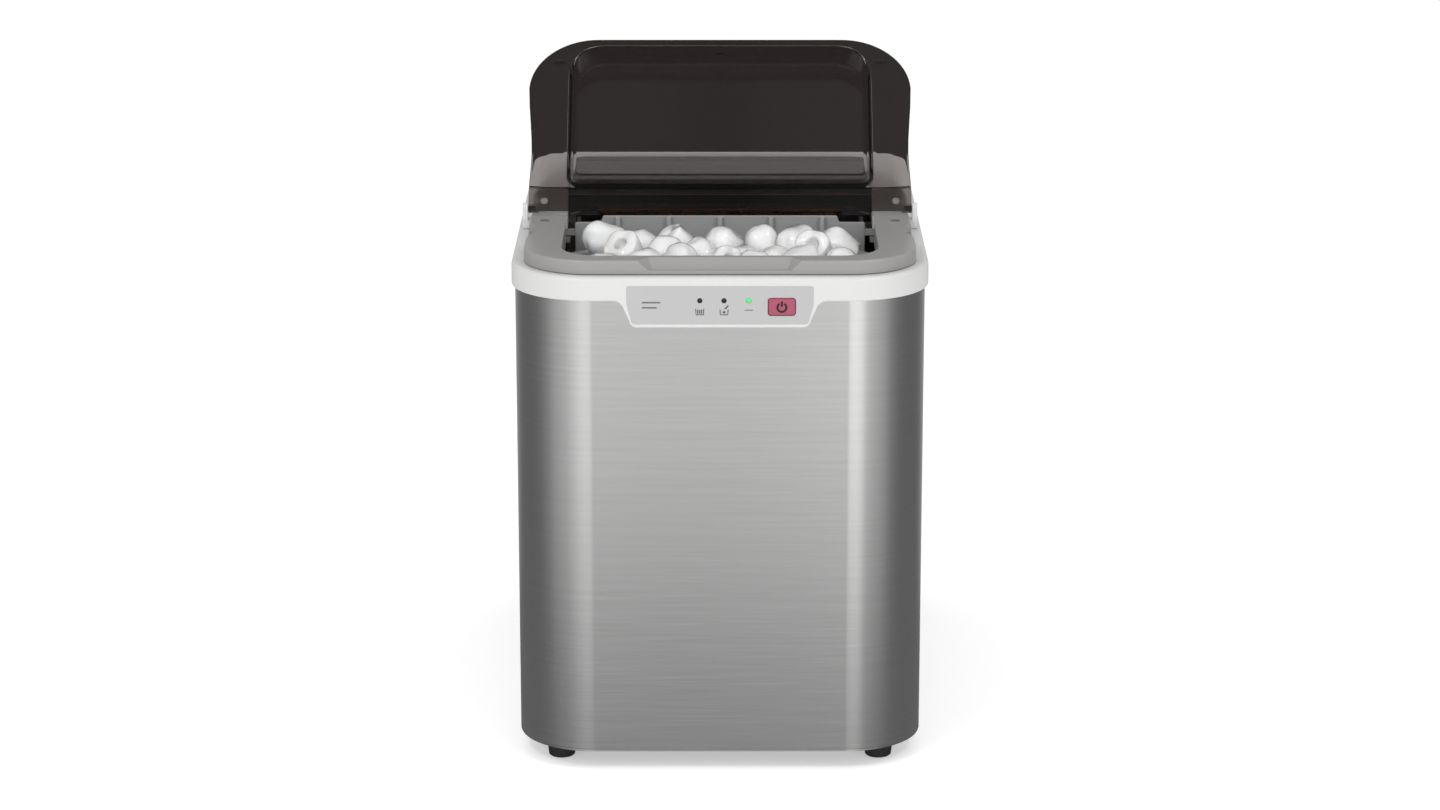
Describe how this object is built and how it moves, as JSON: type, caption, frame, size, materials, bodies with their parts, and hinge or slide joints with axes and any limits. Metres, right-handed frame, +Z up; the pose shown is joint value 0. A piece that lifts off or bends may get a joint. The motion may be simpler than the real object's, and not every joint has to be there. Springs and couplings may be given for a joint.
{
  "type": "countertop ice maker",
  "caption": "Countertop bullet ice maker with a brushed steel wrap, white rim, tilted smoked lid, front control tab, ice basket, water tray and refrigeration parts inside",
  "frame": {"origin": "on the floor under the middle of the outline", "axes": "X is the width, -Y is the front with the controls, Z is up"},
  "size_m": [0.242, 0.36, 0.3983],
  "materials": {
    "brushed_steel": "fine horizontal brushing",
    "white_plastic": "satin white",
    "grey_plastic": "satin mid grey",
    "liner_grey": "satin light grey",
    "smoked_plastic": "polished, see-through brown-black",
    "black_plastic": "matte black",
    "black_rubber": "matte",
    "zinc_sheet": "zinc plated sheet steel",
    "black_enamel": "black enamel",
    "copper_tube": "drawn copper",
    "aluminium_fins": "plain",
    "circuit_board": "green resist",
    "pink_button": "satin pink",
    "green_lens": "clear green",
    "panel_overlay": "printed film, light grey"
  },
  "bodies": {
    "cabinet": {"base_pan": "zinc_sheet", "bezel": "grey_plastic", "bulkhead": "zinc_sheet", "cabinet_wrap": "brushed_steel", "capillary_tube": "copper_tube", "compressor": "black_enamel", "compressor_mount": "zinc_sheet", "condenser": "aluminium_fins", "control_board": "circuit_board", "control_overlay": "panel_overlay", "cord_gland": "black_rubber", "discharge_line": "copper_tube", "drain_socket": "black_plastic", "drain_tube": "black_rubber", "evaporator": "copper_tube", "evaporator_bracket": "zinc_sheet", "fan_motor": "zinc_sheet", "fan_shroud": "black_plastic", "filter_drier": "copper_tube", "foot_front_left": "black_rubber", "foot_front_right": "black_rubber", "foot_rear_left": "black_rubber", "foot_rear_right": "black_rubber", "hinge_pin_left": "zinc_sheet", "hinge_pin_right": "zinc_sheet", "ice_sensor_left": "black_plastic", "ice_sensor_right": "black_plastic", "inner_liner": "liner_grey", "lens_add_water": "black_plastic", "lens_ice_full": "black_plastic", "lens_running": "green_lens", "liquid_line": "copper_tube", "rear_cover": "white_plastic", "rear_panel": "zinc_sheet", "rear_screw_1": "zinc_sheet", "rear_screw_2": "zinc_sheet", "rear_screw_3": "zinc_sheet", "rear_screw_4": "zinc_sheet", "rear_window": "smoked_plastic", "suction_line": "copper_tube", "tact_switch": "black_plastic", "top_rim": "white_plastic", "tray_bearing_post": "white_plastic", "tray_motor": "black_plastic", "tray_motor_shaft": "zinc_sheet", "tray_pivot_pin": "zinc_sheet", "water_hose": "white_plastic", "water_pump": "black_plastic", "window_lintel": "black_plastic"},
    "lid": {"lid_shell": "smoked_plastic", "lid_bumper_left": "black_rubber", "lid_bumper_right": "black_rubber"},
    "power_button": {"power_button": "pink_button"},
    "basket": {"ice_basket": "liner_grey"},
    "tray": {"water_tray": "white_plastic"},
    "shovel": {"ice_shovel": "liner_grey"},
    "fan": {"fan_blades": "black_plastic"},
    "drain_plug": {"drain_cap": "black_plastic"}
  },
  "joints": [
    {"name": "lid_hinge", "type": "hinge", "parent": "cabinet", "child": "lid", "pos_m": [0, -0.046, 0.3095], "axis": [1, 0, 0], "range_deg": [0, 134]},
    {"name": "power_button_press", "type": "slide", "parent": "cabinet", "child": "power_button", "axis": [0, 1, 0], "range_m": [0, 0.001], "stiffness_N_per_m": 500, "springref_m": -0.0005},
    {"name": "basket_lift", "type": "slide", "parent": "cabinet", "child": "basket", "axis": [0, 0, 1], "range_m": [0, 0.008]},
    {"name": "tray_tilt", "type": "hinge", "parent": "cabinet", "child": "tray", "pos_m": [0, 0.01, 0.286], "axis": [1, 0, 0], "range_deg": [0, 50]},
    {"name": "shovel_slide", "type": "slide", "parent": "cabinet", "child": "shovel", "axis": [0, 1, 0], "range_m": [0, 0.038]},
    {"name": "fan_spin", "type": "hinge", "parent": "cabinet", "child": "fan", "pos_m": [0.072, 0.105, 0.108], "axis": [1, 0, 0], "continuous": true},
    {"name": "drain_plug_pull", "type": "slide", "parent": "cabinet", "child": "drain_plug", "axis": [0, 1, 0], "range_m": [0, 0.02]}
  ],
  "couplings": [
    {"joint": "shovel_slide", "follows": "tray_tilt", "m_per_rad": 0.0435}
  ]
}
